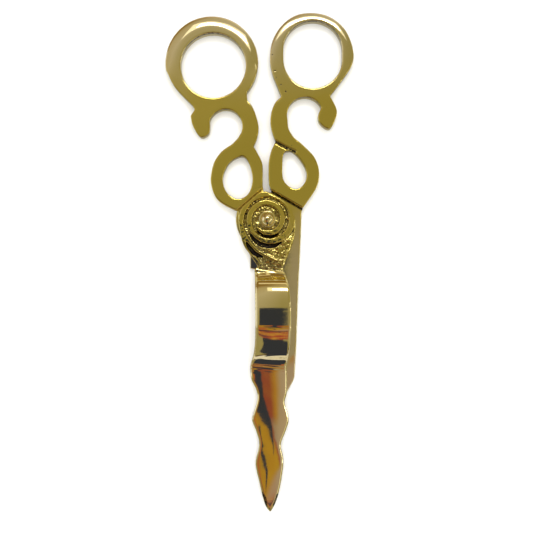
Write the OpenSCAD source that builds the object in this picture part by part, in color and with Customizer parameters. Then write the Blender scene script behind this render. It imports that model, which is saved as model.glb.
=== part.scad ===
// Wick trimmer: a pair of cast brass scissors with scrolled ring handles, a raised arch over the
// blade that holds the cut wick, and a waved dagger tip.
// Millimetres. The origin is on the pivot axis, on the plane the tool rests on. +Z is up, +Y runs
// toward the finger rings and -Y toward the tip. Drawn closed, as it lies on a table.

/* [Thickness] */
// Thickness of both handles, the full height of the flat casting
handle_t = 4.2; // [3.6:0.1:5.0]
// Thickness of the lower blade and of the disc round its pivot
blade_t = 2.0; // [1.6:0.1:2.4]
// Running gap between the two halves, measured along the pivot
face_gap = 0.1; // [0.05:0.01:0.2]
// Height of the raised spiral and rim above the boss
relief_h = 0.7; // [0.4:0.1:1.2]

/* [Arch] */
// Top of the arch above the resting plane
arch_top = 10; // [9:0.5:12]
// Thickness of the arched strip
arch_t = 1.9; // [1.5:0.1:2.1]

/* [Pivot] */
// Radius of the rivet shank
shank_r = 2.0; // [1.6:0.1:2.2]
// Radial running clearance between the shank and the upper half
shank_clearance = 0.05; // [0.02:0.01:0.09]
// Radius of the rivet's domed head
dome_r = 2.35; // [2.3:0.05:2.5]
// Height of the dome above the collar
dome_h = 1.5; // [1.0:0.1:1.9]
// Outer radius of the collar under the dome
collar_r = 2.95; // [2.7:0.05:3.2]
// Thickness of the collar
collar_t = 0.8; // [0.6:0.1:1.2]
// Radius of the lower half's pivot disc
disc_r = 11.1; // [10.6:0.1:11.4]

/* [Finger rings] */
// Radius of the round finger hole in the left handle
left_hole_r = 11.4; // [11:0.1:12]
// Radius of the ends of the oval finger hole in the right handle
right_hole_r = 10.3; // [10:0.1:11]
// Length of the straight sides of the oval hole
right_hole_straight = 3.1; // [1:0.1:4]

/* [Spiral] */
// Width of the raised spiral ridge on its first turn
ridge_w = 1.8; // [1.2:0.1:2.0]

/* [Hidden] */
$fn = 96;
upper_z = blade_t + face_gap;             // underside of the upper half over the lower one
boss_top = handle_t - 0.1;                // floor of the boss, just under the handle faces
collar_z = boss_top + face_gap;           // underside of the collar
left_ring = [-19.5, 55.1];                // centre of the left ring's outside
left_ring_r = 16.3;
left_hole = [-18.95, 53.9];               // centre of the left finger hole
right_hole = [15.95, 57.75];              // centre of the right finger hole
left_curl = [-14.6, 32.7];                // centre of the left scroll's round inside
left_curl_r = 5.9;
right_curl = [13.2, 36.6];                // centre of the right scroll's round inside
right_curl_r = 6.3;
curve_steps = 4;                          // straight pieces in each stretch of a smooth run
through = 40;                             // taller than anything that it cuts
shoulder_angle = 60;                      // direction of the step where the right handle starts
shoulder_r = 9.6;                         // distance of that step from the pivot
groove_angle = 131;                       // direction of the groove behind the left of the boss
groove_r = 9.0;
groove_w = 0.45;
groove_deep = 0.8;
disc_flat_y = 9.5;                        // the disc is cut flat here, inside the boss
tail_r = 3.2;                             // the rivet's countersunk tail
tail_h = 1.1;

// ---------- curves ----------

// One point on the smooth curve from b to c, with a and d as the points either side
function blend_point(a, b, c, d, t) =
    0.5 * (2 * b + (c - a) * t + (2 * a - 5 * b + 4 * c - d) * t * t
           + (3 * b - a - 3 * c + d) * t * t * t);

// A smooth open run through a few points, ending at the last one
function run(p) = [
    for (i = [0 : len(p) - 2], s = [0 : curve_steps - 1])
        blend_point(p[max(i - 1, 0)], p[i], p[i + 1], p[min(i + 2, len(p) - 1)],
                    s / curve_steps),
    p[len(p) - 1]
];

// A smooth closed loop through a few points
function loop(p) = [
    for (i = [0 : len(p) - 1], s = [0 : curve_steps - 1])
        let (n = len(p))
        blend_point(p[(i + n - 1) % n], p[i], p[(i + 1) % n], p[(i + 2) % n], s / curve_steps)
];

// Points along a circle from one angle to another
function arc(centre, r, from, to, steps = 14) = [
    for (i = [0 : steps])
        let (angle = from + (to - from) * i / steps)
        centre + r * [cos(angle), sin(angle)]
];

// ---------- outlines seen from above ----------

// Left handle: round ring, flank, barbed hook, open scroll and closed loop
module left_handle_solid_outline() {
    ring = arc(left_ring, left_ring_r, -41, 190, 40);
    flank = run([[-34.7, 50.6], [-33.4, 47.9], [-31.1, 44.8], [-26.1, 39.8]]);
    barb = [[-25.5, 38.6], [-25.6, 38.2], [-26.9, 36.2]];
    hook = run([[-26.9, 36.2], [-26.3, 33.3], [-24.7, 30.2], [-23.1, 28.7],
                [-21.2, 29.4], [-20.2, 31.0], [-20.2, 34.6]]);
    curl = arc(left_curl, left_curl_r, 158, -36);
    loop_outside = run([[-10.2, 28.6], [-12.3, 26.4], [-14.9, 24.7], [-16.9, 22.8], [-18.8, 19.6],
                        [-19.8, 15.0], [-19.6, 11.8], [-18.2, 7.9], [-15.6, 5.4], [-10.7, 2.9]]);
    loop_inside = run([[-1.4, 10.7], [-1.6, 12.5], [-1.6, 18.0], [-2.1, 20.6], [-4.5, 25.1]]);
    scroll_back = run([[-4.9, 25.4], [-3.5, 28.8], [-3.1, 33.0], [-4.9, 38.9], [-7.0, 41.7]]);
    polygon([each ring, each flank, each barb, each hook, each curl, each loop_outside, [0, 0],
             each loop_inside, each scroll_back]);
}

// The egg-shaped window in the left loop
module left_window() {
    polygon(loop([[-9.1, 22.1], [-13.0, 20.1], [-15.2, 16.3], [-15.6, 13.0], [-14.3, 9.6],
                  [-11.7, 7.5], [-9.1, 7.3], [-6.5, 9.2], [-5.2, 13.4], [-5.7, 17.6], [-7.1, 20.9]]));
}

module left_handle_outline() {
    difference() {
        left_handle_solid_outline();
        translate(left_hole) circle(r = left_hole_r);
        left_window();
    }
}

// Right handle: a slightly oval ring with a blunt corner, then the scroll and loop
module right_handle_solid_outline() {
    ring = run([[4.9, 43.1], [3.4, 46.8], [1.7, 51.3], [0.9, 56.0], [1.6, 62.0], [4.6, 67.6],
                [9.6, 71.5], [15.6, 72.5], [21.8, 71.2], [26.9, 67.2], [29.6, 61.8], [30.4, 57.4]]);
    flank = run([[30.4, 57.4], [29.6, 53.8], [26.6, 49.2], [22.0, 43.2]]);
    hook = run([[22.2, 42.8], [24.4, 38.2], [23.6, 34.4], [22.4, 32.2], [21.4, 31.7],
                [19.6, 32.6], [18.1, 34.3], [17.8, 36.4], [18.6, 38.6]]);
    curl = arc(right_curl, right_curl_r, 25, 196);
    loop_outside = run([[7.15, 34.3], [7.5, 31.6], [9.3, 28.8], [11.8, 26.7], [14.4, 24.2],
                        [16.4, 22.0], [17.8, 18.8], [18.2, 15.6], [17.7, 12.3], [16.0, 9.0],
                        [12.5, 4.0]]);
    loop_inside = run([[1.4, 10.1], [0.6, 12.4], [0.4, 16.0], [0.5, 20.0], [1.2, 23.5],
                       [2.7, 26.9]]);
    scroll_back = run([[2.9, 27.6], [1.8, 30.2], [1.1, 33.8], [1.4, 37.4], [2.7, 40.8],
                       [4.7, 42.8]]);
    polygon([each ring, each flank, each hook, each curl, each loop_outside, [0, 0],
             each loop_inside, each scroll_back]);
}

// The drop-shaped window in the right loop
module right_window() {
    polygon(loop([[5.7, 23.0], [7.4, 23.9], [9.2, 23.4], [11.9, 20.4], [13.7, 16.8], [13.5, 13.7],
                  [11.9, 11.4], [9.6, 10.7], [7.1, 12.0], [5.5, 14.4], [5.3, 18.5]]));
}

// The oval finger hole, as two round ends and straight sides
module right_finger_hole() {
    for (side = [-1, 1])
        translate(right_hole + [0, side * right_hole_straight / 2])
            circle(r = right_hole_r);
    translate(right_hole) square([2 * right_hole_r, right_hole_straight], center = true);
}

module right_handle_outline() {
    difference() {
        right_handle_solid_outline();
        right_finger_hole();
        right_window();
    }
}

// The upper half ahead of its handle: leaf-shaped boss, arch and waved dagger tip
module upper_blade_outline() {
    boss_right = run([[-0.5, 9.9], [4.2, 7.5], [7.1, 5.1], [8.8, 2.5], [9.9, -1.0], [9.6, -5.4],
                      [8.4, -9.9], [6.7, -14.0], [5.6, -17.0]]);
    arch_right = run([[5.9, -18.0], [7.5, -23.3], [8.2, -31.3], [8.2, -38.2], [7.6, -46.0],
                      [6.7, -51.5]]);
    tip_right = run([[6.9, -55.0], [6.9, -60.9], [6.1, -64.2], [7.1, -68.0], [7.5, -71.0],
                     [6.4, -74.6], [4.8, -79.0], [5.6, -83.4], [5.6, -87.2], [4.3, -95.2],
                     [2.7, -100.3], [1.1, -103.1]]);
    tip_left = run([[1.1, -103.1], [-0.4, -101.3], [-1.6, -97.8], [-2.9, -92.1], [-3.9, -87.8],
                    [-4.1, -84.6], [-2.9, -79.0], [-3.8, -74.8], [-5.4, -70.6], [-4.9, -68.2],
                    [-3.5, -63.0], [-4.0, -59.6], [-5.7, -56.0], [-6.0, -51.5]]);
    arch_left = run([[-5.9, -50.8], [-4.7, -46.4], [-4.2, -40.5], [-4.2, -31.0], [-4.3, -23.0],
                     [-4.5, -17.7]]);
    boss_left = run([[-3.4, -16.4], [-6.1, -12.3], [-8.0, -9.6], [-9.1, -6.6], [-9.9, -1.5],
                     [-10.0, 3.2], [-6.4, 6.8], [-2.6, 9.7]]);
    polygon([each boss_right, each arch_right, each tip_right, each tip_left,
             each arch_left, each boss_left]);
}

// The lower half ahead of its handle: pivot disc, stepped heel and plain slanted blade
module lower_blade_outline() {
    heel = [[-8.9, -5.6], [-6.1, -12.8], [-6.1, -17.2], [-3.0, -17.8]];
    back = [[-2.6, -60.0], [-2.2, -74.5]];
    point = [[-1.2, -76.2], [6.9, -60.9], [9.2, -56.8]];
    edge = run([[9.6, -55.4], [10.25, -44.0], [11.0, -23.3], [11.7, -9.3], [12.1, 2.7]]);
    intersection() {
        circle(r = disc_r);
        translate([-20, -20]) square([40, 20 + disc_flat_y]);
    }
    polygon([[0, 0], [-9.8, -5.2], each heel, each back, each point, each edge, [12.5, 4.0]]);
}

// ---------- side profile of the upper half, drawn as [y, z] ----------

// Slope of the arch's back along its length, as [y, degrees]: it rises from the boss, runs nearly
// level, bends once and rounds down to the tip
arch_slope = [[-16.8, 0], [-18, 18], [-19, 37], [-20, 47], [-20.7, 50], [-21.4, 46.5],
              [-22, 38.5], [-23, 27], [-24, 18.5], [-25, 13.5], [-26, 10.6], [-28, 7],
              [-30, 5.4], [-31, 4.9], [-32, 2.6], [-33, 0.4], [-36.6, -1.3], [-37.6, -8.3],
              [-38.4, -13], [-40, -14], [-42, -15.6], [-44, -20], [-46, -30], [-47.6, -42],
              [-48.4, -46], [-49, -43], [-50, -30], [-50.8, -13.5], [-51.6, 0]];
arch_from = -16.8;
arch_to = -51.6;
arch_pieces = 100;                        // straight pieces that make up the arch's curve
boss_end_y = 12;                          // just past the boss's end beside the handles
point_y = -103.5;                         // just past the tip's point
tip_thinning = 0.9;                       // how much thinner the tip is at its point

module upper_side_profile() {
    step = (arch_from - arch_to) / arch_pieces;
    steepness = function (i) tan(lookup(arch_from - i * step, arch_slope));
    // height gained since the boss, added up piece by piece
    climb = [for (i = 0, z = 0; i <= arch_pieces; z = z + step * steepness(i + 0.5), i = i + 1) z];
    stretch = (arch_top - boss_top) / max(climb);
    outside = [for (i = [0 : arch_pieces]) [arch_from - i * step, boss_top + stretch * climb[i]]];
    // the underside runs parallel to the back, one strip's thickness below it
    parallel = [
        for (i = [0 : arch_pieces])
            let (slope = atan(stretch * steepness(i)))
            outside[i] - arch_t * [sin(slope), cos(slope)]
    ];
    // only the part of it that stands clear of the flat underside is kept
    clear_by = 0.15;
    inside = [for (p = parallel) if (p[1] > upper_z + clear_by) p];
    last = len(inside) - 1;
    south_foot = [inside[last][0] - clear_by, upper_z];
    north_foot = [inside[0][0] + clear_by, upper_z];
    tip_z = outside[arch_pieces][1];
    // the tip thins toward its point along a gentle curve
    tip = [
        for (share = [0.1 : 0.1 : 1])
            [arch_to + share * (point_y - arch_to), tip_z - tip_thinning * share * share]
    ];
    polygon([[boss_end_y, upper_z], [boss_end_y, boss_top], each outside, each tip,
             [point_y, upper_z], south_foot, for (i = [last : -1 : 0]) inside[i], north_foot]);
}

// ---------- raised work on the boss ----------

// Distance of the spiral ridge's middle from the pivot at a few angles. It winds out from the
// collar for two turns, follows the boss's border, then sweeps away under the left side.
ridge_path = [[215, 4.4], [560, 6.5], [630, 7.7], [700, 8.6], [880, 8.9],
              [940, 9.8], [965, 11.0], [990, 12.8], [1005, 15.0]];
// Width of the ridge at a few angles, as a share of its first turn's width
ridge_share = [[215, 0.2], [265, 1], [600, 1], [700, 1.25], [860, 1], [960, 0.85], [1005, 0.4]];
ridge_start = 215;
ridge_end = 1005;

module spiral_ridge() {
    turns = [for (angle = [ridge_start : 10 : ridge_end]) angle];
    ridge_r = function (angle) lookup(angle, ridge_path);
    half_w = function (angle) lookup(angle, ridge_share) * ridge_w / 2;
    side = function (s) [
        for (angle = turns)
            (ridge_r(angle) + s * half_w(angle)) * [cos(angle), sin(angle)]
    ];
    inner = side(-1);
    outer = side(1);
    last = len(turns) - 1;
    polygon([each inner, for (i = [last : -1 : 0]) outer[i]]);
}

// The raised border that follows the boss down its lower left side
module boss_rim() {
    inner = run([[-8.4, 0.0], [-8.2, -4.0], [-7.2, -7.6], [-4.8, -11.6], [-2.2, -15.4]]);
    outer = [[-3.0, -17.0], [-7.0, -13.0], [-11.0, -6.0], [-11.0, 0.0]];
    polygon([each inner, each outer]);
}

module raised_work() {
    intersection() {
        union() {
            spiral_ridge();
            boss_rim();
        }
        upper_blade_outline();
    }
}

// ---------- sub-parts ----------

module upper_half() {
    color([0.66, 0.58, 0.26])
    difference() {
        union() {
            difference() {
                linear_extrude(handle_t) left_handle_outline();
                // room for the lower half's disc to turn under the handle
                translate([0, 0, -1]) cylinder(r = disc_r + 0.3, h = 1 + upper_z);
            }
            intersection() {
                linear_extrude(through) upper_blade_outline();
                rotate([90, 0, 90])
                    translate([0, 0, -through / 2])
                        linear_extrude(through) upper_side_profile();
            }
            translate([0, 0, boss_top - 0.5])
                linear_extrude(relief_h + 0.5) raised_work();
        }
        // pivot bore
        translate([0, 0, -1]) cylinder(r = shank_r + shank_clearance, h = through);
        // groove between the handle and the boss
        rotate(groove_angle)
            translate([groove_r, -7, handle_t - groove_deep])
                cube([groove_w, 14, through]);
    }
}

module lower_half() {
    color([0.60, 0.53, 0.25])
    difference() {
        union() {
            difference() {
                linear_extrude(handle_t) right_handle_outline();
                // flat room for the upper half's boss, up to a straight step
                rotate(shoulder_angle)
                    translate([-20, -20, blade_t])
                        cube([20 + shoulder_r, 40, through]);
            }
            linear_extrude(blade_t) lower_blade_outline();
        }
        translate([0, 0, -1]) cylinder(r = shank_r, h = through);
        // countersink for the rivet's tail
        translate([0, 0, -0.01]) cylinder(r1 = tail_r, r2 = shank_r, h = tail_h);
    }
}

module pivot_rivet() {
    head_z = collar_z + collar_t;
    ball_r = (dome_r * dome_r + dome_h * dome_h) / (2 * dome_h);
    color([0.78, 0.68, 0.38]) {
        cylinder(r = shank_r, h = head_z + 0.1);
        cylinder(r1 = tail_r, r2 = shank_r, h = tail_h);
        translate([0, 0, head_z])
            intersection() {
                translate([0, 0, dome_h - ball_r]) sphere(r = ball_r);
                cylinder(r = dome_r + 1, h = dome_h + 1);
            }
    }
}

module rivet_collar() {
    color([0.72, 0.63, 0.34])
    translate([0, 0, collar_z])
        difference() {
            cylinder(r = collar_r, h = collar_t);
            translate([0, 0, -1]) cylinder(r = shank_r, h = collar_t + 2);
        }
}

upper_half();
lower_half();
pivot_rivet();
rivet_collar();
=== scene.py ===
import math

import bpy
import bmesh
import numpy as np
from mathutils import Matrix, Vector, kdtree, noise


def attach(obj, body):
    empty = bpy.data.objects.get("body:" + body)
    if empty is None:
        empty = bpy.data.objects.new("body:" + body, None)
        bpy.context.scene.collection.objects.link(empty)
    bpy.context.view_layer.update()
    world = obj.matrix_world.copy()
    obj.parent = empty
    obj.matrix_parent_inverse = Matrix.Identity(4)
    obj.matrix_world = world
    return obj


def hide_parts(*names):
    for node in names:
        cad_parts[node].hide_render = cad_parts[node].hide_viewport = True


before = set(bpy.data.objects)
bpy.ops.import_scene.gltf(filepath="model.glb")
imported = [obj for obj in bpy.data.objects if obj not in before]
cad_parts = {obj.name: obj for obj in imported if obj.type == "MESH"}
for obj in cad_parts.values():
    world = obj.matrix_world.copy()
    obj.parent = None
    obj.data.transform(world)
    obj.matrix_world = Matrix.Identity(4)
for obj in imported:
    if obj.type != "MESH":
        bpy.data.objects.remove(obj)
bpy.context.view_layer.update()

MM = 0.001                 # Blender works in metres; the sizes below are in millimetres
HANDLE_TOP = 4.2           # height of the flat handle faces
BOSS_FLOOR = 4.1           # height of the boss between its ridges
LEFT_RING = (-19.5, 55.1)  # centres of the two finger rings
RIGHT_RING = (15.6, 57.4)
ARCH_NORTH = -17.2         # where the arch leaves the boss
ARCH_SOUTH = -51.2         # where it meets the tip
GROOVE = (math.radians(131.0), 9.0)    # direction and distance from the pivot of the boss's groove
SHOULDER = (math.radians(60.0), 9.6)   # the same for the step where the right handle starts
EDGE_RADIUS = 0.20         # how far in from a plain edge the face is rounded
EDGE_DROP = 0.10           # how far it falls at the edge itself

scene = bpy.context.scene


# ---------- camera, first, so that the pieces are judged in its view ----------

def make_camera():
    """Straight above the tool, near enough that the side walls facing the middle show."""
    distance = 0.300         # metres, as is the width
    picture_width = 0.18655
    sensor = 36.0
    data = bpy.data.cameras.new("camera")
    data.sensor_width = sensor
    data.lens = sensor * distance / picture_width
    camera = bpy.data.objects.new("camera", data)
    camera.location = (-0.28 * MM, -16.5 * MM, distance + HANDLE_TOP * MM)
    scene.collection.objects.link(camera)
    scene.camera = camera


make_camera()


# ---------- small helpers on arrays of points, all in millimetres ----------

def smoothstep(low, high, value):
    t = np.clip((value - low) / (high - low), 0.0, 1.0)
    return t * t * (3.0 - 2.0 * t)


def bump(centre, width, value):
    """1 at the centre, falling to 0 at one width either side."""
    return 1.0 - smoothstep(0.0, 1.0, np.abs(value - centre) / width)


def noise_field(points, size, seed, octaves=2):
    """Smooth noise between about -1 and 1 with features of a given size."""
    offset = Vector((seed * 13.7, seed * 7.1, seed * 3.3))
    out = np.empty(len(points))
    for i, p in enumerate(points):
        out[i] = noise.fractal(Vector(p) / size + offset, 1.0, 2.0, octaves)
    return out


def distance_to_path(xy, path):
    """Distance of each point from a line through a few points."""
    best = np.full(len(xy), 1e9)
    for a, b in zip(path[:-1], path[1:]):
        a = np.array(a)
        along = np.array(b) - a
        t = np.clip(((xy - a) @ along) / (along @ along), 0.0, 1.0)
        best = np.minimum(best, np.linalg.norm(xy - a - t[:, None] * along, axis=1))
    return best


def past_mark(xy, mark):
    """How far each point lies beyond a straight mark on the boss, such as its groove."""
    angle, distance = mark
    return xy[:, 0] * math.cos(angle) + xy[:, 1] * math.sin(angle) - distance


# ---------- a CAD node as a finely divided casting ----------

class Casting:
    """A finely divided copy of one CAD node that can be rounded, worn and pitted."""

    def __init__(self, node, name, cell):
        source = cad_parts[node]
        welded = bmesh.new()
        welded.from_mesh(source.data)
        bmesh.ops.remove_doubles(welded, verts=welded.verts, dist=1e-6)
        blank = bpy.data.meshes.new(name + "_blank")
        welded.to_mesh(blank)
        welded.free()
        holder = bpy.data.objects.new(name + "_blank", blank)
        scene.collection.objects.link(holder)
        cells = holder.modifiers.new("cells", "REMESH")
        cells.mode = "VOXEL"
        cells.voxel_size = cell * MM
        bpy.context.view_layer.update()
        evaluated = holder.evaluated_get(bpy.context.evaluated_depsgraph_get())
        self.mesh = bpy.data.meshes.new_from_object(evaluated)
        self.mesh.name = name
        bpy.data.objects.remove(holder)
        bpy.data.meshes.remove(blank)

        self.node = node
        self.name = name
        count = len(self.mesh.vertices)
        flat = np.empty(count * 3)
        self.mesh.vertices.foreach_get("co", flat)
        self.points = flat.reshape(-1, 3) / MM
        ends = np.empty(len(self.mesh.edges) * 2, dtype=np.int64)
        self.mesh.edges.foreach_get("vertices", ends)
        self.edge_from, self.edge_to = ends.reshape(-1, 2).T
        self.neighbour_count = np.maximum(np.bincount(ends, minlength=count), 1)
        # darkening of the brass: real tarnish, plus painted shade where the shaping marks it
        self.grime_and_shade = np.zeros(count)

    def store(self):
        self.mesh.vertices.foreach_set("co", (self.points * MM).ravel())
        self.mesh.update()

    def normals(self):
        self.store()
        flat = np.empty(len(self.points) * 3)
        self.mesh.vertices.foreach_get("normal", flat)
        return flat.reshape(-1, 3)

    def neighbour_mean(self, values):
        """The mean of a number over each vertex's neighbours."""
        a, b, count = self.edge_from, self.edge_to, len(values)
        total = np.bincount(a, values[b], count) + np.bincount(b, values[a], count)
        return total / self.neighbour_count

    def smooth(self, times, weight=0.5, where=None):
        """Moves each vertex toward the mean of its neighbours, as polishing wears an edge."""
        amount = weight if where is None else weight * where[:, None]
        for _ in range(times):
            mean = np.stack([self.neighbour_mean(self.points[:, axis]) for axis in range(3)], axis=1)
            self.points += amount * (mean - self.points)

    def edge_distance(self, reach):
        """How far each vertex of a face is from the nearest side wall, seen from above.

        The steep faces at the arch's two ends don't count as walls, nor do the boss's ridges.
        Gives the normals as well.
        """
        normal = self.normals()
        outline = (self.points[:, 2] < BOSS_FLOOR - 0.2) | (self.points[:, 1] < ARCH_NORTH)
        on_arch = (self.points[:, 1] < ARCH_NORTH) & (self.points[:, 1] > ARCH_SOUTH)
        outline &= ~(on_arch & (np.abs(normal[:, 1]) > np.abs(normal[:, 0])))
        steep = 0.35
        wall = np.flatnonzero((np.abs(normal[:, 2]) < steep) & outline)
        tree = kdtree.KDTree(len(wall))
        for k, i in enumerate(wall):
            tree.insert((self.points[i, 0], self.points[i, 1], 0.0), k)
        tree.balance()
        out = np.full(len(self.points), reach)
        for i in np.flatnonzero(np.abs(normal[:, 2]) >= steep):
            found = tree.find((self.points[i, 0], self.points[i, 1], 0.0))
            out[i] = min(found[2], reach)
        return out, normal

    def roll_edges(self, radius, depth):
        """Rounds the faces over toward their outline. Radius and depth may vary over the part."""
        distance, normal = self.edge_distance(float(np.max(radius)))
        inside = np.clip(1.0 - distance / radius, 0.0, 1.0)
        drop = depth * (1.0 - np.sqrt(np.clip(1.0 - inside * inside, 0.0, 1.0)))
        face = smoothstep(0.35, 0.8, np.abs(normal[:, 2]))
        self.points -= normal * (drop * face)[:, None]

    def collect_grime(self):
        """Adds tarnish wherever the surface is hollow on a small scale."""
        normal = self.normals()
        hollow = np.zeros(len(self.points))
        for axis in range(3):
            mean = self.neighbour_mean(self.points[:, axis])
            hollow += (mean - self.points[:, axis]) * normal[:, axis]
        for _ in range(3):
            hollow = 0.5 * (hollow + self.neighbour_mean(hollow))
        self.grime_and_shade = np.clip(self.grime_and_shade + 0.8 * smoothstep(0.012, 0.030, hollow), 0.0, 2.5)

    def finish(self, material, body):
        self.store()
        for polygon in self.mesh.polygons:
            polygon.use_smooth = True
        layer = self.mesh.attributes.new("grime_and_shade", "FLOAT", "POINT")
        layer.data.foreach_set("value", self.grime_and_shade.astype(np.float32))
        self.mesh.materials.clear()
        self.mesh.materials.append(material)
        piece = bpy.data.objects.new(self.name, self.mesh)
        scene.collection.objects.link(piece)
        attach(piece, body)
        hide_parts(self.node)
        return piece


# ---------- small helpers for node materials ----------

class Nodes:
    """Short ways to add and join the nodes of one material or world."""

    def __init__(self, tree):
        self.tree = tree

    def add(self, kind, **settings):
        node = self.tree.nodes.new(kind)
        for key, value in settings.items():
            setattr(node, key, value)
        return node

    def feed(self, socket, value):
        """Links a socket to another node's output, or sets it to a number, vector or RGB colour."""
        if isinstance(value, bpy.types.NodeSocket):
            self.tree.links.new(value, socket)
        elif socket.type == "RGBA":
            socket.default_value = (*value, 1.0)
        else:
            socket.default_value = value

    def place(self):
        """Where a point is in its own object, in metres."""
        return self.add("ShaderNodeTexCoord").outputs["Object"]

    def split(self, vector):
        node = self.add("ShaderNodeSeparateXYZ")
        self.feed(node.inputs["Vector"], vector)
        return node.outputs

    def stretch(self, vector, angle, scale):
        node = self.add("ShaderNodeMapping")
        self.feed(node.inputs["Vector"], vector)
        node.inputs["Rotation"].default_value = (0.0, 0.0, angle)
        node.inputs["Scale"].default_value = scale
        return node.outputs["Vector"]

    def noise(self, vector, scale, detail, roughness=0.5):
        node = self.add("ShaderNodeTexNoise")
        self.feed(node.inputs["Vector"], vector)
        node.inputs["Scale"].default_value = scale
        node.inputs["Detail"].default_value = detail
        node.inputs["Roughness"].default_value = roughness
        return node.outputs["Fac"]

    def maths(self, operation, *values, clamp=False):
        node = self.add("ShaderNodeMath", operation=operation, use_clamp=clamp)
        for socket, value in zip(node.inputs, values):
            self.feed(socket, value)
        return node.outputs["Value"]

    def share(self, value, start, end, low=0.0, high=1.0, kind="LINEAR"):
        """Runs from low to high while the value runs from start to end, and stops there."""
        node = self.add("ShaderNodeMapRange", interpolation_type=kind)
        self.feed(node.inputs["Value"], value)
        node.inputs["From Min"].default_value = start
        node.inputs["From Max"].default_value = end
        node.inputs["To Min"].default_value = low
        node.inputs["To Max"].default_value = high
        return node.outputs["Result"]

    def mix(self, factor, a, b):
        node = self.add("ShaderNodeMix", data_type="RGBA")
        self.feed(node.inputs["Factor"], factor)
        self.feed(node.inputs["A"], a)
        self.feed(node.inputs["B"], b)
        return node.outputs["Result"]

    def ramp(self, value, stops):
        """Runs through the given (position, colour) stops."""
        node = self.add("ShaderNodeValToRGB")
        self.feed(node.inputs["Fac"], value)
        elements = node.color_ramp.elements
        while len(elements) < len(stops):
            elements.new(0.5)
        for element, (position, colour) in zip(elements, stops):
            element.position = position
            element.color = (*colour, 1.0)
        return node.outputs["Color"]

    def relief(self, height, strength, distance, under=None):
        """A bump on top of the one under it."""
        node = self.add("ShaderNodeBump")
        self.feed(node.inputs["Height"], height)
        node.inputs["Strength"].default_value = strength
        node.inputs["Distance"].default_value = distance
        if under is not None:
            self.feed(node.inputs["Normal"], under)
        return node.outputs["Normal"]


# ---------- brass ----------

# near-black, for tarnish and for painted shade alike
TARNISH_AND_SHADE = (0.034, 0.027, 0.025)


def brass(name, bright, deep, scratch_angle, neck_start):
    """Polished brass with fine buffing lines, soft dullness, dark pits and tarnish, plus painted shade.

    The deep tone is a painted reflection of the olive ceiling, with some random unevenness. It is
    fullest over the handles' lower halves, fades out upward in the rings, and downward as far as
    neck_start. Places are in metres here, as the nodes give them.
    """
    material = bpy.data.materials.new(name)
    material.use_nodes = True
    material.node_tree.nodes.clear()
    nodes = Nodes(material.node_tree)
    output = nodes.add("ShaderNodeOutputMaterial")
    shader = nodes.add("ShaderNodeBsdfPrincipled")
    nodes.feed(output.inputs["Surface"], shader.outputs["BSDF"])
    shader.inputs["Metallic"].default_value = 1.0
    place = nodes.place()

    # broad change of tone: painted reflection of the ceiling, deeper over the handles, with random
    # unevenness
    y = nodes.split(place)["Y"]
    none_above = 0.064
    full_below = 0.036
    full_above = 0.008
    handle = nodes.share(y, none_above, full_below, kind="SMOOTHSTEP")
    neck = nodes.share(y, neck_start, full_above, kind="SMOOTHSTEP")
    cloud = nodes.noise(place, 55.0, 3.0)
    uneven = nodes.maths("MULTIPLY_ADD", cloud, 0.9, -0.45, clamp=True)
    painted_reflection_and_tone = nodes.maths("ADD", nodes.maths("MULTIPLY", handle, neck), uneven, clamp=True)
    tone = nodes.mix(painted_reflection_and_tone, bright, deep)

    # dark tarnish and polish residue left in the low places, plus painted shade in corners, wall tops,
    # furrows and crescents
    grime_and_shade = nodes.add("ShaderNodeAttribute", attribute_name="grime_and_shade", attribute_type="GEOMETRY")
    speck = nodes.noise(place, 2600.0, 2.0)
    patch = nodes.maths("MULTIPLY_ADD", speck, 4.0, -1.1)
    dirt_and_shade = nodes.maths("MULTIPLY", patch, grime_and_shade.outputs["Fac"], clamp=True)
    nodes.feed(shader.inputs["Base Color"], nodes.mix(dirt_and_shade, tone, TARNISH_AND_SHADE))

    # long fine scratches from the buff, in one main direction
    scratch = nodes.noise(nodes.stretch(place, scratch_angle, (60.0, 2400.0, 60.0)), 1.0, 4.0, 0.7)
    polish = nodes.share(scratch, 0.3, 0.7, 0.03, 0.075)
    nodes.feed(shader.inputs["Roughness"], nodes.maths("MULTIPLY_ADD", dirt_and_shade, 0.35, polish))

    # casting grain under the polish, and the scratches, as relief
    grain = nodes.noise(place, 900.0, 2.0)
    scratched = nodes.relief(scratch, 0.06, 0.02 * MM)
    nodes.feed(shader.inputs["Normal"], nodes.relief(grain, 0.08, 0.03 * MM, scratched))
    return material


# ---------- upper half ----------

# the deep hollows under the spiral's last turns, painted dark as shade: path, and half width at the
# middle
CRESCENTS = [
    ([(-6.0, -5.0), (-4.8, -6.9), (-2.6, -8.6), (0.2, -9.4), (2.6, -9.2), (5.0, -8.1)], 0.80),
    ([(-7.4, -8.0), (-6.4, -9.7), (-4.6, -11.8), (-1.6, -13.3)], 0.74),
    ([(-3.6, -4.0), (-1.6, -5.5), (1.3, -6.1), (4.0, -5.1)], 0.42),
]
CRESCENT_DEPTH = 0.9


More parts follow.
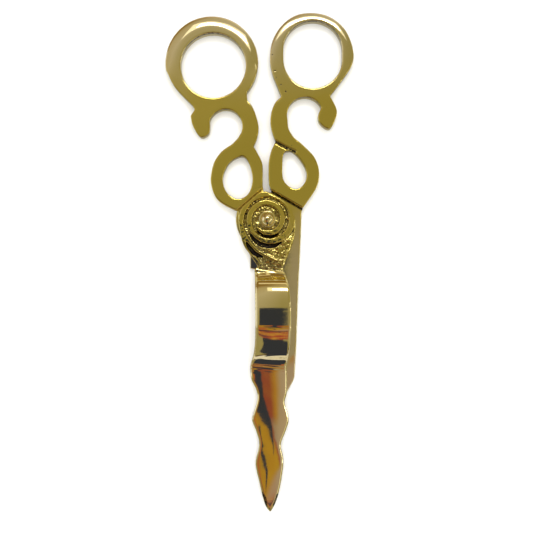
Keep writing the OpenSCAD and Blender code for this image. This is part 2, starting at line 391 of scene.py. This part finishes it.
def shape_upper(casting):
    """Rounds the casting, crowns the tip and the ring, and works the spiral and the arch's feet."""
    low_ground = find_low_ground(casting)
    casting.smooth(3)
    x, y = casting.points[:, 0], casting.points[:, 1]
    tip = smoothstep(ARCH_SOUTH, ARCH_SOUTH - 5.0, y)
    arch = smoothstep(ARCH_NORTH, ARCH_NORTH - 2.0, y) * (1.0 - tip)
    boss = smoothstep(17.5, 16.0, np.hypot(x, y)) * (1.0 - arch)
    left = smoothstep(1.0, -1.0, x)
    casting.smooth(10, 0.5, np.maximum(tip, arch))
    casting.roll_edges(
        EDGE_RADIUS + 0.56 * tip + (0.46 + 0.55 * left) * arch + (0.42 - 0.44 * left) * boss,
        EDGE_DROP + 0.38 * tip + (0.24 + 0.15 * left) * arch + (0.21 - 0.25 * left) * boss,
    )
    lean_arch(casting)
    crown_ring(casting, LEFT_RING, 12.0, 16.0, 18.0, 1.0)
    crown_tip(casting)
    casting.smooth(6, 0.5, np.maximum(tip, smoothstep(50.0, 60.0, y)))
    work_boss(casting, low_ground)
    work_arch_feet(casting)
    casting.smooth(1)
    wave_faces(casting, 0.012, 1)
    paint_wall_top_shade(casting)
    darken_point(casting)
    casting.collect_grime()


def crown_ring(casting, centre, inner, outer, edge_degrees, power):
    """Lets the far side of a finger ring fall away toward its outside, as filing leaves it.

    It's level at the inner radius and slopes by edge_degrees at the outer one. A higher power
    keeps it level for longer.
    """
    x, y = casting.points[:, 0] - centre[0], casting.points[:, 1] - centre[1]
    r = np.hypot(x, y)
    across = np.clip((r - inner) / (outer - inner), 0.0, 1.1)
    far_side = smoothstep(-6.0, 3.0, y) * (r < outer + 2.0)
    slope = math.tan(math.radians(edge_degrees))
    drop = slope * (outer - inner) * across ** (power + 1.0) / (power + 1.0)
    casting.points[:, 2] -= drop * far_side * smoothstep(1.5, 3.5, casting.points[:, 2])


def lean_arch(casting):
    """Lets the arch fall away gently toward its left side, as the buff has worn it."""
    x, y = casting.points[:, 0], casting.points[:, 1]
    level_until = 5.4
    bend = 38.0
    on_arch = smoothstep(ARCH_NORTH, ARCH_NORTH - 3.5, y) * smoothstep(ARCH_SOUTH, -43.0, y)
    casting.points[:, 2] -= on_arch * np.clip(level_until - x, 0.0, None) ** 2 / (2.0 * bend)


def crown_tip(casting):
    """Gives the tip a soft rounded back whose crest wanders from its left side to its right."""
    x, y = casting.points[:, 0], casting.points[:, 1]
    along = [50.0, 60.0, 70.0, 80.0, 103.0]
    crest = np.interp(-y, along, [0.2, 1.2, 1.9, 2.6, 1.6])
    bend = np.interp(-y, along, [80.0, 68.0, 50.0, 38.0, 18.0])
    drop = (x - crest) ** 2 / (2.0 * bend)
    on_tip = smoothstep(ARCH_SOUTH, ARCH_SOUTH - 3.0, y)
    casting.points[:, 2] -= drop * on_tip * smoothstep(2.2, 3.6, casting.points[:, 2])


def find_low_ground(casting):
    """Picks the boss's upper face.

    Gives the vertices, 1 where they lie low between the ridges, and 1 where they're well inside
    the boss's outline.
    """
    x, y, z = casting.points[:, 0], casting.points[:, 1], casting.points[:, 2]
    on_boss = (z > BOSS_FLOOR - 0.4) & (y > -17.5) & (np.hypot(x, y) < 17.5) & (z < 5.2)
    behind_groove = past_mark(casting.points, GROOVE) > 0.0
    index = np.flatnonzero(on_boss & ~behind_groove)
    low = 1.0 - smoothstep(BOSS_FLOOR + 0.1, BOSS_FLOOR + 0.35, z[index])
    margin = casting.edge_distance(1.0)[0][index]
    return index, low, smoothstep(0.25, 0.8, margin)


def work_boss(casting, low_ground):
    """Deepens and pits the low ground between the ridges, and cuts the crescents, painted dark as
    shade.
    """
    index, low, inside = low_ground
    p = casting.points[index]
    coarse = noise_field(p, 0.9, 3)
    fine = noise_field(p, 0.38, 4)
    # the swollen, lumpy patch at the lower right of the boss
    mottled = smoothstep(-4.5, -7.5, p[:, 1]) * smoothstep(-3.0, 1.0, p[:, 0] + 0.4 * (p[:, 1] + 10))
    depth = low * inside * (0.25 + 0.18 * coarse + 0.18 * fine)
    swell = inside * mottled * (0.50 + 0.35 * coarse)
    ridge_marks = (1.0 - low) * 0.015 * coarse
    casting.points[index, 2] += low * swell - depth - ridge_marks
    casting.grime_and_shade[index] = low * inside * (0.50 - 0.25 * mottled)
    for path, widest in CRESCENTS:
        gap = distance_to_path(p[:, :2], path)
        ends = np.array(path[0]), np.array(path[-1])
        span = ends[1] - ends[0]
        t = np.clip(((p[:, :2] - ends[0]) @ span) / (span @ span), 0.0, 1.0)
        width = widest * np.sqrt(np.clip(4.0 * t * (1.0 - t), 0.0, 1.0)) + 0.05
        cut = 1.0 - smoothstep(0.6, 1.0, gap / width)
        casting.points[index, 2] += cut * (BOSS_FLOOR - CRESCENT_DEPTH - casting.points[index, 2])
        # painted shade: the crescents go fully dark
        casting.grime_and_shade[index] = np.maximum(casting.grime_and_shade[index], 2.5 * cut)


def work_arch_feet(casting):
    """Leaves the slightly slanted file ridges where the boss turns up into the arch, and paints shade
    into their furrows and along the arch's foot.
    """
    x, y = casting.points[:, 0], casting.points[:, 1]
    top = (casting.normals()[:, 2] > 0.2)
    ridge_spacing = 1.15
    ridge_height = 0.05
    slant = y + 0.10 * x
    north = bump(ARCH_NORTH - 0.6, 2.4, slant)
    south = bump(ARCH_SOUTH - 0.4, 2.0, slant)
    ridges = np.sin(2.0 * math.pi * slant / ridge_spacing)
    casting.points[:, 2] += np.where(top, ridge_height * ridges * (north + 0.7 * south), 0.0)
    # painted shade in the furrows and along the foot, in place of the dark reflections there
    furrow_shade = smoothstep(0.5, 1.0, -ridges) * north * top
    foot_shade = bump(ARCH_NORTH + 1.0, 1.2, slant) * (casting.points[:, 2] < 5.4) * top
    casting.grime_and_shade = np.maximum(casting.grime_and_shade, np.maximum(0.9 * furrow_shade, 0.6 * foot_shade))


def paint_wall_top_shade(casting):
    """Painted shade just under the upper edge of the walls that face the tip, in place of their dark
    reflection.
    """
    normal = casting.normals()
    wall = (np.abs(normal[:, 2]) < 0.45) & (normal[:, 1] < -0.3) & (casting.points[:, 1] > 12.0)
    casting.grime_and_shade[wall & (casting.points[:, 2] > 2.6)] = 0.9


def darken_point(casting):
    """Darkens the two hollows either side of the point."""
    for path, width in (([(-1.8, -96.2), (-0.7, -98.2), (-0.4, -100.8)], 0.55),
                        ([(3.7, -96.8), (2.4, -100.4)], 0.50)):
        near = 1.0 - smoothstep(0.5 * width, width, distance_to_path(casting.points[:, :2], path))
        casting.grime_and_shade = np.maximum(casting.grime_and_shade, 1.6 * near * (casting.points[:, 2] > 2.4))


def wave_faces(casting, height, seed):
    """Lets the hand-polished faces roll very slightly, as a sum of a few long waves."""
    random = np.random.default_rng(seed)
    lengths = (34.0, 23.0, 17.0, 12.0, 9.0)
    lift = np.zeros(len(casting.points))
    for length in lengths:
        heading = random.uniform(0.0, math.pi)
        phase = random.uniform(0.0, 2.0 * math.pi)
        along = casting.points[:, 0] * math.cos(heading) + casting.points[:, 1] * math.sin(heading)
        lift += length / lengths[0] * np.sin(2.0 * math.pi * along / length + phase)
    casting.points[:, 2] += height * lift * smoothstep(0.5, 2.5, casting.points[:, 2])


# ---------- lower half ----------

# small casting pits in the right ring and stem: place and radius
PITS = [(1.7, 57.6, 0.20), (2.6, 52.0, 0.30), (4.8, 47.1, 0.35), (6.4, 44.8, 0.28),
        (3.2, 49.6, 0.18), (8.6, 25.9, 0.20), (16.9, 20.4, 0.20)]


def shape_lower(casting):
    """Rounds the casting, crowns the ring, grinds the blade and leaves the casting's faults."""
    casting.smooth(3)
    casting.roll_edges(np.full(len(casting.points), EDGE_RADIUS), EDGE_DROP)
    crown_ring(casting, RIGHT_RING, 11.5, 14.8, 17.0, 1.6)
    casting.smooth(6, 0.5, smoothstep(50.0, 60.0, casting.points[:, 1]))
    grind_blade(casting)
    cut_seam(casting)
    paint_shoulder_shade(casting)
    sink_pits(casting)
    casting.smooth(1)
    wave_faces(casting, 0.006, 2)
    paint_wall_top_shade(casting)
    casting.collect_grime()


def grind_blade(casting):
    """The blade's face is ground down very slightly toward its cutting edge, near the end."""
    x, y = casting.points[:, 0], casting.points[:, 1]
    ground = smoothstep(-46.0, -54.0, y) * smoothstep(1.0, 1.8, casting.points[:, 2])
    casting.points[:, 2] -= ground * math.tan(math.radians(2.5)) * np.clip(x - 6.5, 0.0, None)


def cut_seam(casting):
    """The rough closing line of the right scroll, where the loop's end meets the stem."""
    seam = [(2.6, 27.4), (6.2, 25.3), (9.6, 23.7)]
    y, z = casting.points[:, 1], casting.points[:, 2]
    top = np.flatnonzero((z > 2.5) & (y > 21.0) & (y < 30.0))
    p = casting.points[top]
    near = 1.0 - smoothstep(0.15, 0.75, distance_to_path(p[:, :2], seam))
    rough = noise_field(p, 0.5, 8)
    casting.points[top, 2] -= near * (0.55 + 0.3 * rough)
    casting.grime_and_shade[top] = near


def paint_shoulder_shade(casting):
    """Painted shade in the corner where the handle steps down to the disc."""
    near_step = np.abs(past_mark(casting.points, SHOULDER)) < 0.7
    z = casting.points[:, 2]
    casting.grime_and_shade[near_step & (z < HANDLE_TOP - 0.4) & (z > 1.0)] = 1.4


def sink_pits(casting):
    """Shallow ragged pits, dark inside."""
    raggedness = 0.9
    for x, y, radius in PITS:
        near = np.hypot(casting.points[:, 0] - x, casting.points[:, 1] - y)
        index = np.flatnonzero((near < 4.0 * radius) & (casting.points[:, 2] > 3.0))
        ragged = near[index] * (1.0 + raggedness * noise_field(casting.points[index], 0.3, 11))
        hole = 1.0 - smoothstep(0.4 * radius, radius, ragged)
        casting.points[index, 2] -= 0.04 * hole
        casting.grime_and_shade[index] = np.maximum(casting.grime_and_shade[index], 1.8 * hole)


# ---------- rivet and collar ----------

def shape_rivet(casting):
    """Softens the turned edges."""
    casting.smooth(3)


# ---------- build ----------

upper_brass = brass("upper_brass", (0.90, 0.77, 0.46), (0.82, 0.66, 0.17), 0.5, -0.048)
lower_brass = brass("lower_brass", (0.86, 0.74, 0.46), (0.82, 0.66, 0.17), -0.4, -0.012)
rivet_brass = brass("rivet_brass", (0.92, 0.80, 0.50), (0.86, 0.72, 0.34), 1.2, -0.012)

CELL = 0.17
RIVET_CELL = 0.12

upper = Casting("upper_half", "upper_casting", CELL)
shape_upper(upper)
upper_piece = upper.finish(upper_brass, "upper_body")

lower = Casting("lower_half", "lower_casting", CELL)
shape_lower(lower)
lower_piece = lower.finish(lower_brass, "lower_body")

for node in ("pivot_rivet", "rivet_collar"):
    part = Casting(node, node + "_polished", RIVET_CELL)
    shape_rivet(part)
    piece = part.finish(rivet_brass, "lower_body")


# ---------- stage, in metres unless multiplied by MM ----------

def plane(name, corners):
    mesh = bpy.data.meshes.new(name)
    mesh.from_pydata(corners, [], [range(len(corners))])
    piece = bpy.data.objects.new(name, mesh)
    scene.collection.objects.link(piece)
    return piece


def rectangle(low_x, high_x, low_y, high_y, z):
    return [(low_x, low_y, z), (high_x, low_y, z), (high_x, high_y, z), (low_x, high_y, z)]


def floor(name, height, dark, light):
    """A matte table top with a faint mottle."""
    size = 3.0
    piece = plane(name, rectangle(-size, size, -size, size, height))
    material = bpy.data.materials.new(name)
    material.use_nodes = True
    nodes = Nodes(material.node_tree)
    shader = material.node_tree.nodes["Principled BSDF"]
    shader.inputs["Roughness"].default_value = 0.7
    generated = nodes.add("ShaderNodeTexCoord").outputs["Generated"]
    nodes.feed(shader.inputs["Base Color"], nodes.mix(nodes.noise(generated, 30.0, 2.0), dark, light))
    piece.data.materials.append(material)
    return piece


# the table as the eye sees it, and a duller one that only the metal reflects
table = floor("table", -0.0003, (0.90, 0.91, 0.95), (0.92, 0.93, 0.97))
table.visible_glossy = False
duller = floor("table_in_metal", -0.0001, (0.44, 0.44, 0.43), (0.50, 0.50, 0.49))
duller.visible_camera = False
duller.visible_diffuse = False
duller.visible_shadow = False


# ---------- cards: the room, camera and hand that polished brass can't help but reflect ----------

DARK = (0.035, 0.041, 0.068)
WARM_DARK = (0.06, 0.025, 0.018)
OCHRE = (0.40, 0.225, 0.036)
FAR_OCHRE = (0.42, 0.262, 0.030)
BRIGHT_OCHRE = (0.60, 0.34, 0.06)
ORANGE = (0.42, 0.14, 0.05)
RED = (0.36, 0.055, 0.04)
RED_BROWN = (0.29, 0.10, 0.065)
DEEP_RED = (0.25, 0.065, 0.045)
BEIGE = (0.39, 0.31, 0.25)
PALE_SLEEVE = (0.46, 0.38, 0.32)
PALE_WALL = (0.345, 0.307, 0.215)
PALE_GREY = (0.80, 0.79, 0.77)

CARD_Z = 0.306


def reflected_card(name, corners, colour):
    """A glowing card that shows only in the polished metal."""
    piece = plane(name, corners)
    material = bpy.data.materials.new(name)
    material.use_nodes = True
    material.node_tree.nodes.clear()
    nodes = Nodes(material.node_tree)
    output = nodes.add("ShaderNodeOutputMaterial")
    glow = nodes.add("ShaderNodeEmission")
    nodes.feed(output.inputs["Surface"], glow.outputs["Emission"])
    nodes.feed(glow.inputs["Color"], colour)
    piece.data.materials.append(material)
    piece.visible_camera = False
    piece.visible_diffuse = False
    piece.visible_shadow = False
    return nodes, glow


def overhead(points):
    """Card corners just above the camera, from x and y in millimetres."""
    return [(x * MM, y * MM, CARD_Z) for x, y in points]


def rounded(points, steps=5):
    """A smooth closed outline through the given points."""
    out = []
    count = len(points)
    for i in range(count):
        a, b, c, d = (np.array(points[(i + k) % count], dtype=float) for k in (-1, 0, 1, 2))
        for t in np.linspace(0.0, 1.0, steps, endpoint=False):
            bend = 2 * b + (c - a) * t + (2 * a - 5 * b + 4 * c - d) * t ** 2
            out.append(0.5 * (bend + (3 * b - a - 3 * c + d) * t ** 3))
    return out


def warm_card(name, corners):
    """Skin and sleeve tones, with strong cross bands in the strip that is farthest off."""
    nodes, glow = reflected_card(name, corners, OCHRE)
    place = nodes.place()
    parts = nodes.split(place)

    def past_line(slope, start, end):
        """From 0 to 1 across a slanting line, where x + slope * y runs from start to end."""
        return nodes.share(nodes.maths("MULTIPLY_ADD", parts["Y"], slope, parts["X"]), start, end)

    # nearest the camera the tones run from left to right
    half_width = 0.20
    across = nodes.share(parts["X"], -half_width, half_width)

    def tones_across(stops):
        positions = [((x + half_width) / (2.0 * half_width), colour) for x, colour in stops]
        return nodes.ramp(across, positions)

    near_tones = tones_across([
        (-0.100, OCHRE), (-0.060, ORANGE), (-0.022, DEEP_RED), (0.000, DEEP_RED),
        (0.020, OCHRE), (0.040, BEIGE), (0.120, PALE_SLEEVE),
    ])

    # farther off, the fingers end along one slanting line with the sleeve to the right of it,
    # and fade into the sleeve along another one
    finger_slope = 1.96
    fingers_end = -0.285
    far_fingers = tones_across([(-0.110, ORANGE), (-0.075, FAR_OCHRE)])
    sleeve = nodes.ramp(past_line(finger_slope, fingers_end, -0.165), [
        (0.0, RED_BROWN), (0.06, RED_BROWN), (0.13, BEIGE), (1.0, PALE_SLEEVE),
    ])
    past_fingers = past_line(finger_slope, fingers_end - 0.006, fingers_end)
    far_side = nodes.mix(past_fingers, far_fingers, sleeve)
    far_tones = nodes.mix(past_line(-3.08, 0.555, 0.595), far_side, BEIGE)
    tones = nodes.mix(nodes.share(parts["Y"], -0.130, -0.144), near_tones, far_tones)

    bands = nodes.noise(nodes.stretch(place, -0.17, (4.0, 55.0, 1.0)), 1.0, 1.0)
    streaks = nodes.ramp(bands, [
        (0.36, DARK), (0.42, RED), (0.47, ORANGE), (0.52, BRIGHT_OCHRE), (0.57, ORANGE),
        (0.62, RED),
    ])
    strong = nodes.share(parts["Y"], -0.196, -0.210, 0.12, 0.95)
    inward = nodes.share(parts["X"], 0.034, 0.018)
    nodes.feed(glow.inputs["Color"], nodes.mix(nodes.maths("MULTIPLY", strong, inward), tones, streaks))


def hang_cards():
    # overhead: the dark camera, the pale wall beside it, and the fingers against the warm hand
    camera_body = [(-140, -91), (14, -91), (14, -27), (12.6, -22.5), (11.2, -17.5), (13.6, -10),
                   (14, 4), (-140, 4)]
    reflected_card("dark_camera", overhead(camera_body), DARK)
    wall = [(45, -89), (45, 25), (20.4, 25), (20.4, 10), (17.6, -1.5), (15, -10), (15, -89)]
    reflected_card("pale_wall", overhead(wall), PALE_WALL)
    near_finger = [(-49, -90), (-50, -98), (-58, -107), (-84, -114), (-115, -122), (-86, -134),
                   (-36, -142), (-8, -149), (3, -160), (2, -149), (-6, -135), (-24, -121),
                   (-26, -111), (-24, -105), (-27, -97), (-11, -90)]
    reflected_card("dark_near_finger", overhead(rounded(near_finger)), DARK)
    far_finger = [(-68, -148), (-84, -156), (-76, -165), (-50, -174), (-45, -190), (-39, -190),
                  (-35, -173), (-50, -164), (-68, -156), (-62, -148)]
    reflected_card("dark_far_finger", overhead(rounded(far_finger)), DARK)
    warm_card("warm_hand", rectangle(-0.20, 0.20, -0.246, -0.089, CARD_Z + 0.001))

    # standing up beyond the tip: the photographer's body, a pale strip below it, a dark room
    body = [(-18, 20), (60, 20), (50, 245), (16, 370), (12, 440), (-170, 440), (-158, 370),
            (-105, 245), (-27, 80)]
    reflected_card("dark_body", [(x * MM, -0.30, z * MM) for x, z in body], DARK)
    pale_low = [(-0.6, -0.31, 0.0), (0.1, -0.31, 0.0), (0.1, -0.31, 0.05), (-0.6, -0.31, 0.09)]
    reflected_card("pale_low", pale_low, PALE_GREY)
    near_side = [(-1.6, -1.2, 0.06), (1.6, -1.2, 0.06), (1.6, -1.2, 0.35), (-1.6, -1.2, 0.35)]
    reflected_card("dark_near_side", near_side, WARM_DARK)


hang_cards()


# ---------- light ----------

def area_light(name, place, width, height, power, colour=(1.0, 1.0, 1.0)):
    """A lamp that shines at the pivot and that the camera can't see."""
    data = bpy.data.lights.new(name, "AREA")
    data.shape = "RECTANGLE"
    data.size = width
    data.size_y = height
    data.energy = power
    data.color = colour
    light = bpy.data.objects.new(name, data)
    light.location = place
    toward_pivot = Vector((0.0, 0.0, 0.0)) - Vector(place)
    light.rotation_euler = toward_pivot.to_track_quat("-Z", "Y").to_euler()
    light.visible_camera = False
    scene.collection.objects.link(light)
    return light


soft_box = area_light("soft_box", (0.0, 0.0, 1.2), 2.0, 2.0, 26.0)
soft_box.visible_glossy = False
area_light("strip", (0.05, 0.58, 1.0), 0.48, 0.12, 2.0)
area_light("strip_glow", (0.03, 0.62, 1.03), 0.70, 0.30, 0.5)
area_light("right_strip", (1.05, -0.12, 0.60), 0.56, 0.12, 0.9)
area_light("right_window", (0.80, -0.60, 0.85), 0.5, 0.4, 0.4)
area_light("far_panel", (0.17, 0.98, 0.45), 1.2, 0.2, 0.4)
area_light("left_panel", (-1.0, 0.09, 0.40), 0.9, 0.4, 1.0, (0.62, 0.72, 1.0))


def backdrop():
    """A plain pale wall all round the table, for the low views; the metal doesn't reflect it."""
    radius = 1.25
    height = 1.2
    steps = 48
    angles = [2 * math.pi * k / steps for k in range(steps)]
    ring = [(radius * math.cos(angle), radius * math.sin(angle)) for angle in angles]
    corners = [(x, y, -0.01) for x, y in ring] + [(x, y, height) for x, y in ring]
    faces = [(k, (k + 1) % steps, steps + (k + 1) % steps, steps + k) for k in range(steps)]
    mesh = bpy.data.meshes.new("backdrop")
    mesh.from_pydata(corners, [], faces)
    material = bpy.data.materials.new("backdrop")
    material.use_nodes = True
    shader = material.node_tree.nodes["Principled BSDF"]
    shader.inputs["Base Color"].default_value = (0.0, 0.0, 0.0, 1.0)
    shader.inputs["Specular IOR Level"].default_value = 0.0
    shader.inputs["Emission Color"].default_value = (0.98, 0.98, 1.0, 1.0)
    shader.inputs["Emission Strength"].default_value = 1.0
    mesh.materials.append(material)
    wall = bpy.data.objects.new("backdrop", mesh)
    scene.collection.objects.link(wall)
    wall.visible_diffuse = False
    wall.visible_glossy = False
    wall.visible_shadow = False


def make_room():
    """The ceiling seen in the flat faces: olive overhead, paler toward the far left."""
    world = bpy.data.worlds.new("room")
    world.use_nodes = True
    nodes = Nodes(world.node_tree)
    background = world.node_tree.nodes["Background"]
    lean = nodes.add("ShaderNodeVectorMath", operation="DOT_PRODUCT")
    nodes.feed(lean.inputs[0], nodes.add("ShaderNodeTexCoord").outputs["Generated"])
    nodes.feed(lean.inputs[1], (-0.5, 0.85, 0.0))
    nodes.feed(background.inputs["Color"], nodes.ramp(lean.outputs["Value"], [
        (0.12, (0.33, 0.30, 0.15)), (0.45, (0.50, 0.46, 0.38)), (0.66, (0.46, 0.40, 0.28)),
        (0.80, (0.26, 0.17, 0.06)),
    ]))
    background.inputs["Strength"].default_value = 1.0
    scene.world = world


backdrop()
make_room()
scene.view_settings.view_transform = "Standard"
